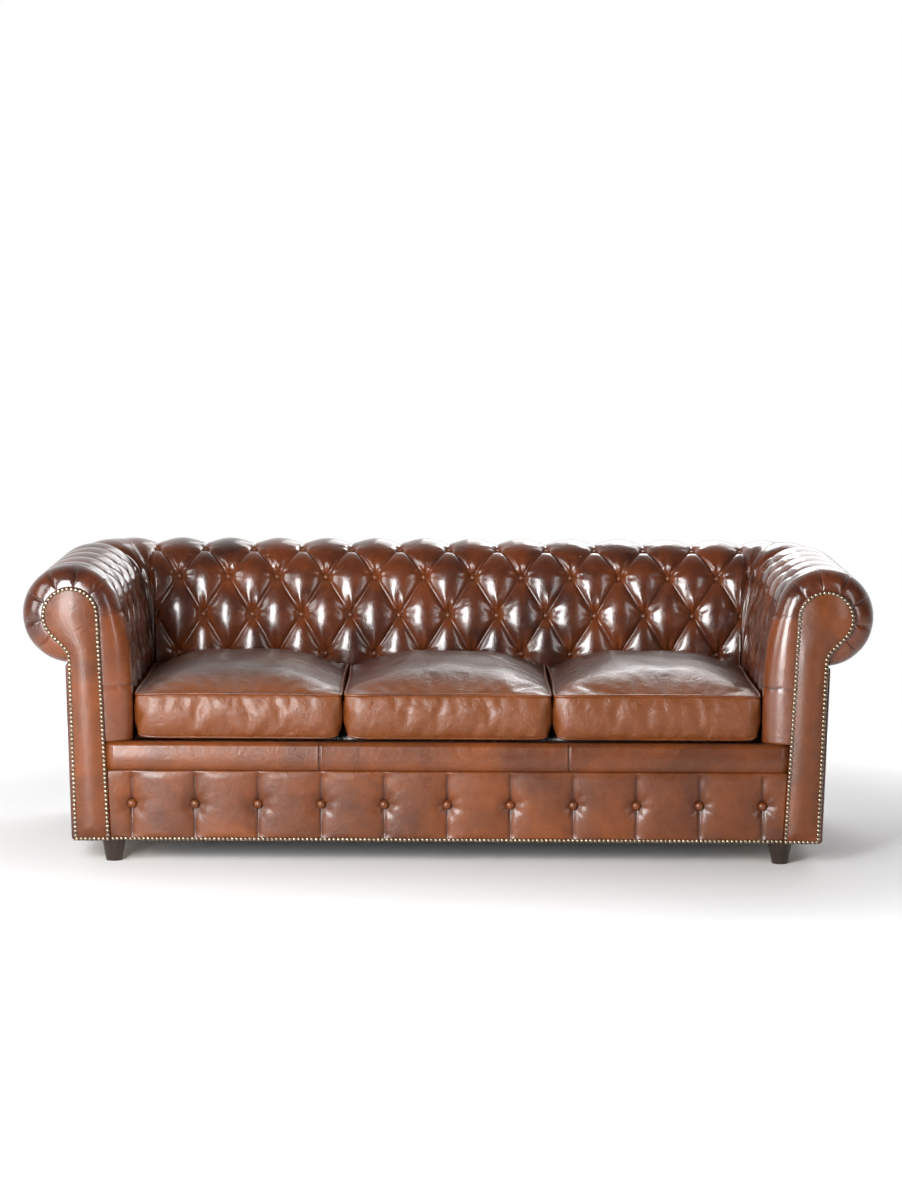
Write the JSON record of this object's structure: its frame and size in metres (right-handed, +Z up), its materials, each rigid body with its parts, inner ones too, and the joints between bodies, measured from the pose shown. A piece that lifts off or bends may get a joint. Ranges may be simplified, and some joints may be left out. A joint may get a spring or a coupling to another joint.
{
  "type": "leather sofa bed",
  "caption": "Buttoned leather sofa with rolled arms and back, loose boxed seat cushions and a fold-out bed in the seat.",
  "frame": {"origin": "on the floor under the middle of the sofa", "axes": "+Z up, -Y towards the front, +X to the right seen from the front"},
  "size_m": [2.2084, 0.9982, 0.7749],
  "materials": {
    "tan_leather": "gloss",
    "dark_leather": "gloss",
    "seat_leather": "satin",
    "timber": "matte",
    "stained_wood": "satin",
    "antique_brass": "satin",
    "black_steel": "satin",
    "deck_cloth": "matte",
    "ticking": "matte"
  },
  "bodies": {
    "sofa_frame": {"front_rail": "timber", "back_rail": "timber", "left_side_rail": "timber", "right_side_rail": "timber", "left_front_corner_block": "timber", "left_rear_corner_block": "timber", "right_front_corner_block": "timber", "right_rear_corner_block": "timber", "left_front_foot": "stained_wood", "left_rear_foot": "stained_wood", "right_front_foot": "stained_wood", "right_rear_foot": "stained_wood", "front_cross_rail": "timber", "rear_cross_rail": "timber", "dust_cover": "deck_cloth", "left_arm_board": "timber", "right_arm_board": "timber", "left_arm_pad": "dark_leather", "right_arm_pad": "dark_leather", "left_outer_panel": "dark_leather", "right_outer_panel": "dark_leather", "left_facing": "tan_leather", "right_facing": "tan_leather", "left_nail_strip": "antique_brass", "right_nail_strip": "antique_brass", "back_board": "timber", "back_pad": "dark_leather", "back_outer_panel": "dark_leather", "seat_border": "tan_leather", "front_border": "tan_leather", "front_nail_strip": "antique_brass", "left_mechanism_plate": "black_steel", "right_mechanism_plate": "black_steel"},
    "left_front_lift": {"left_front_lift_arm": "black_steel"},
    "right_front_lift": {"right_front_lift_arm": "black_steel"},
    "left_rear_lift": {"left_rear_lift_arm": "black_steel"},
    "right_rear_lift": {"right_rear_lift_arm": "black_steel"},
    "head_section": {"head_section_frame": "black_steel", "head_section_deck": "deck_cloth", "head_mattress_panel": "ticking", "left_first_hinge_pin": "black_steel", "right_first_hinge_pin": "black_steel"},
    "middle_section": {"middle_section_frame": "black_steel", "middle_section_deck": "deck_cloth", "middle_mattress_panel": "ticking", "left_second_hinge_pin": "black_steel", "right_second_hinge_pin": "black_steel"},
    "foot_section": {"foot_section_frame": "black_steel", "foot_section_deck": "deck_cloth", "foot_mattress_panel": "ticking"},
    "middle_leg_pair": {"middle_legs": "black_steel"},
    "foot_leg_pair": {"foot_legs": "black_steel"},
    "left_cushion": {"left_seat_cushion": "seat_leather"},
    "middle_cushion": {"middle_seat_cushion": "seat_leather"},
    "right_cushion": {"right_seat_cushion": "seat_leather"}
  },
  "joints": [
    {"name": "left_front_lift_turn", "type": "hinge", "parent": "sofa_frame", "child": "left_front_lift", "pos_m": [0, -0.32915, 0.2083], "axis": [1, 0, 0], "range_deg": [0, 160]},
    {"name": "right_front_lift_turn", "type": "hinge", "parent": "sofa_frame", "child": "right_front_lift", "pos_m": [0, -0.32915, 0.2083], "axis": [1, 0, 0], "range_deg": [0, 160]},
    {"name": "left_rear_lift_turn", "type": "hinge", "parent": "sofa_frame", "child": "left_rear_lift", "pos_m": [0, -0.03915, 0.2083], "axis": [1, 0, 0], "range_deg": [0, 160]},
    {"name": "right_rear_lift_turn", "type": "hinge", "parent": "sofa_frame", "child": "right_rear_lift", "pos_m": [0, -0.03915, 0.2083], "axis": [1, 0, 0], "range_deg": [0, 160]},
    {"name": "head_level", "type": "hinge", "parent": "left_front_lift", "child": "head_section", "pos_m": [0, -0.2759, 0.0941], "axis": [-1, 0, 0], "range_deg": [0, 160]},
    {"name": "bed_unfold", "type": "hinge", "parent": "head_section", "child": "middle_section", "pos_m": [0, -0.4259, 0.15455], "axis": [1, 0, 0], "range_deg": [0, 180]},
    {"name": "foot_unfold", "type": "hinge", "parent": "middle_section", "child": "foot_section", "pos_m": [0, 0.2041, 0.236], "axis": [-1, 0, 0], "range_deg": [0, 180]},
    {"name": "middle_legs_swing", "type": "hinge", "parent": "middle_section", "child": "middle_leg_pair", "pos_m": [0, 0.1791, 0.236], "axis": [-1, 0, 0], "range_deg": [0, 90]},
    {"name": "foot_legs_swing", "type": "hinge", "parent": "foot_section", "child": "foot_leg_pair", "pos_m": [0, -0.3899, 0.236], "axis": [-1, 0, 0], "range_deg": [0, 90]},
    {"name": "left_cushion_lift", "type": "slide", "parent": "foot_section", "child": "left_cushion", "axis": [0, 0, 1], "range_m": [0, 0.3]},
    {"name": "middle_cushion_lift", "type": "slide", "parent": "foot_section", "child": "middle_cushion", "axis": [0, 0, 1], "range_m": [0, 0.3]},
    {"name": "right_cushion_lift", "type": "slide", "parent": "foot_section", "child": "right_cushion", "axis": [0, 0, 1], "range_m": [0, 0.3]}
  ],
  "couplings": [
    {"joint": "left_front_lift_turn", "follows": "bed_unfold", "ratio": 0.88889},
    {"joint": "right_front_lift_turn", "follows": "bed_unfold", "ratio": 0.88889},
    {"joint": "left_rear_lift_turn", "follows": "bed_unfold", "ratio": 0.88889},
    {"joint": "right_rear_lift_turn", "follows": "bed_unfold", "ratio": 0.88889},
    {"joint": "head_level", "follows": "bed_unfold", "ratio": 0.88889},
    {"joint": "foot_unfold", "follows": "bed_unfold", "ratio": 1},
    {"joint": "middle_legs_swing", "follows": "bed_unfold", "ratio": 0.5},
    {"joint": "foot_legs_swing", "follows": "bed_unfold", "ratio": 0.5}
  ]
}
